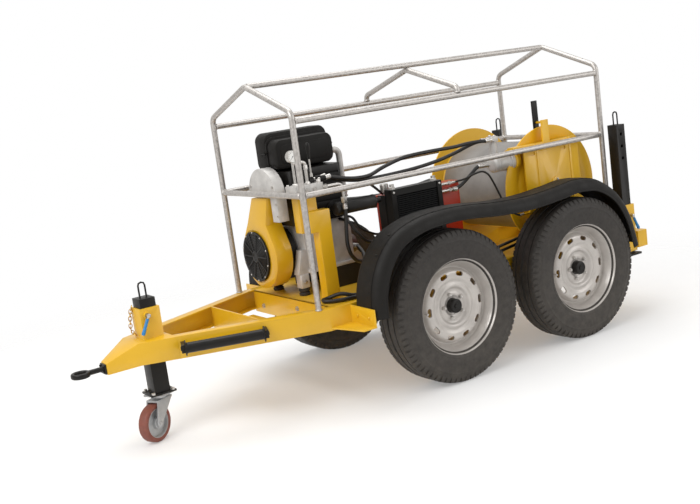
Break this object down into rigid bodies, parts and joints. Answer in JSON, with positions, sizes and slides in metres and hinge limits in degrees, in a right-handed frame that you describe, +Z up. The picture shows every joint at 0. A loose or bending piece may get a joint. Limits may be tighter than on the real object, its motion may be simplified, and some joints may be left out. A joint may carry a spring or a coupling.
{
  "type": "cable pulling machine",
  "caption": "Towed cable pulling trailer: engine-driven hydraulic winch drum under a tube cage, fendered road wheels, jockey castor and drop-down stabiliser legs.",
  "frame": {"origin": "on the ground below the middle of the box round the whole machine", "axes": "+X to the rear, so the tow eye is at -X; -Y is the near side with the control column; +Z up"},
  "size_m": [2.984, 1.182, 1.4565],
  "materials": {
    "yellow_paint": "gloss",
    "yellow_casting": "painted gloss",
    "black_paint": "satin",
    "white_paint": "satin",
    "red_paint": "gloss",
    "tyre_rubber": "matt",
    "hose_rubber": "matt",
    "black_plastic": "moulded matt",
    "blue_handle": "dipped",
    "brown_tread": "matt",
    "galvanised_steel": "galvanised",
    "zinc_steel": "zinc plated",
    "drum_steel": "matt grey core and yellow end discs",
    "grey_aluminium": "cast",
    "black_casting": "painted satin",
    "dark_iron": "painted",
    "brown_iron": "painted"
  },
  "bodies": {
    "chassis": {"drawbar_nose": "yellow_paint", "tow_eye": "black_paint", "chassis_beam_near": "yellow_paint", "chassis_beam_far": "yellow_paint", "deck_sheet": "yellow_paint", "rear_cross_beam": "yellow_paint", "axle_front": "black_paint", "axle_rear": "black_paint", "fender_near": "black_plastic", "fender_far": "black_plastic", "cage_hoop_front": "galvanised_steel", "cage_hoop_rear": "galvanised_steel", "cage_ridge_rail": "galvanised_steel", "cage_top_rail_near": "galvanised_steel", "cage_top_rail_far": "galvanised_steel", "cage_mid_rail_near": "galvanised_steel", "cage_mid_rail_far": "galvanised_steel", "blower_housing": "yellow_casting", "blower_grille": "black_plastic", "cylinder_head_cover": "grey_aluminium", "cylinder_cowl": "black_casting", "crankcase": "grey_aluminium", "engine_base": "black_paint", "air_filter": "black_plastic", "intake_pipe": "grey_aluminium", "exhaust_silencer": "black_paint", "hydraulic_pump": "brown_iron", "control_column": "yellow_paint", "valve_block": "zinc_steel", "oil_tank": "red_paint", "oil_cooler": "black_casting", "drum_support_near": "yellow_paint", "drum_support_far": "yellow_paint", "winch_motor": "zinc_steel", "motor_feed_hose": "hose_rubber", "motor_return_hose": "hose_rubber", "cooler_hose": "hose_rubber", "drain_hose": "hose_rubber", "pump_hose": "hose_rubber"},
    "wheel_front_near": {"rim_front_near": "white_paint", "tyre_front_near": "tyre_rubber"},
    "wheel_front_far": {"rim_front_far": "white_paint", "tyre_front_far": "tyre_rubber"},
    "wheel_rear_near": {"rim_rear_near": "white_paint", "tyre_rear_near": "tyre_rubber"},
    "wheel_rear_far": {"rim_rear_far": "white_paint", "tyre_rear_far": "tyre_rubber"},
    "guide_roller": {"guide_roller": "black_paint"},
    "jockey_leg": {"jockey_leg": "black_paint"},
    "castor_fork": {"castor_fork": "zinc_steel"},
    "castor_wheel": {"castor_wheel": "brown_tread"},
    "jockey_clamp": {"jockey_clamp": "blue_handle"},
    "stabiliser_leg_near": {"stabiliser_leg_near": "black_paint"},
    "stabiliser_leg_far": {"stabiliser_leg_far": "black_paint"},
    "stabiliser_clamp_near": {"stabiliser_clamp_near": "blue_handle"},
    "stabiliser_clamp_far": {"stabiliser_clamp_far": "blue_handle"},
    "flywheel": {"flywheel": "dark_iron"},
    "drum": {"drum": "drum_steel"},
    "valve_lever": {"valve_lever": "black_plastic"},
    "drum_brake_lever": {"drum_brake_lever": "black_paint"}
  },
  "joints": [
    {"name": "wheel_front_near_spin", "type": "hinge", "parent": "chassis", "child": "wheel_front_near", "pos_m": [0.1175, -0.501, 0.3495], "axis": [0, 1, 0], "continuous": true},
    {"name": "wheel_front_far_spin", "type": "hinge", "parent": "chassis", "child": "wheel_front_far", "pos_m": [0.1175, 0.501, 0.3495], "axis": [0, 1, 0], "continuous": true},
    {"name": "wheel_rear_near_spin", "type": "hinge", "parent": "chassis", "child": "wheel_rear_near", "pos_m": [0.9245, -0.501, 0.3495], "axis": [0, 1, 0], "continuous": true},
    {"name": "wheel_rear_far_spin", "type": "hinge", "parent": "chassis", "child": "wheel_rear_far", "pos_m": [0.9245, 0.501, 0.3495], "axis": [0, 1, 0], "continuous": true},
    {"name": "guide_roller_spin", "type": "hinge", "parent": "chassis", "child": "guide_roller", "pos_m": [-1.0664, -0.21434, 0.415], "axis": [0.926, -0.3775, 0], "continuous": true},
    {"name": "jockey_leg_slide", "type": "slide", "parent": "chassis", "child": "jockey_leg", "axis": [0, 0, 1], "range_m": [0, 0.13]},
    {"name": "castor_swivel", "type": "hinge", "parent": "jockey_leg", "child": "castor_fork", "pos_m": [-1.127, 0, 0.17], "axis": [0, 0, 1], "continuous": true},
    {"name": "castor_wheel_spin", "type": "hinge", "parent": "castor_fork", "child": "castor_wheel", "pos_m": [-1.18228, -0.02808, 0.083], "axis": [-0.4529, 0.8916, 0], "continuous": true},
    {"name": "jockey_clamp_turn", "type": "hinge", "parent": "chassis", "child": "jockey_clamp", "pos_m": [-1.145, -0.06, 0.556], "axis": [0, 1, 0], "range_deg": [-30, 90]},
    {"name": "stabiliser_leg_near_slide", "type": "slide", "parent": "chassis", "child": "stabiliser_leg_near", "axis": [0, 0, 1], "range_m": [-0.3, 0]},
    {"name": "stabiliser_leg_far_slide", "type": "slide", "parent": "chassis", "child": "stabiliser_leg_far", "axis": [0, 0, 1], "range_m": [-0.3, 0]},
    {"name": "stabiliser_clamp_near_turn", "type": "hinge", "parent": "chassis", "child": "stabiliser_clamp_near", "pos_m": [1.386, -0.49, 0.524], "axis": [0, 1, 0], "range_deg": [-90, 0]},
    {"name": "stabiliser_clamp_far_turn", "type": "hinge", "parent": "chassis", "child": "stabiliser_clamp_far", "pos_m": [1.386, 0.49, 0.524], "axis": [0, 1, 0], "range_deg": [-90, 0]},
    {"name": "flywheel_spin", "type": "hinge", "parent": "chassis", "child": "flywheel", "pos_m": [-0.362, 0.124, 0.659], "axis": [1, 0, 0], "continuous": true},
    {"name": "drum_spin", "type": "hinge", "parent": "chassis", "child": "drum", "pos_m": [1.028, 0, 0.742], "axis": [0, 1, 0], "continuous": true},
    {"name": "valve_lever_tilt", "type": "hinge", "parent": "chassis", "child": "valve_lever", "pos_m": [-0.331, -0.196, 0.9976], "axis": [0, 1, 0], "range_deg": [-17, 17], "stiffness_Nm_per_rad": 2},
    {"name": "drum_brake_lever_swing", "type": "hinge", "parent": "chassis", "child": "drum_brake_lever", "pos_m": [0.984, -0.279, 1.072], "axis": [0, 1, 0], "range_deg": [-15, 15]}
  ]
}
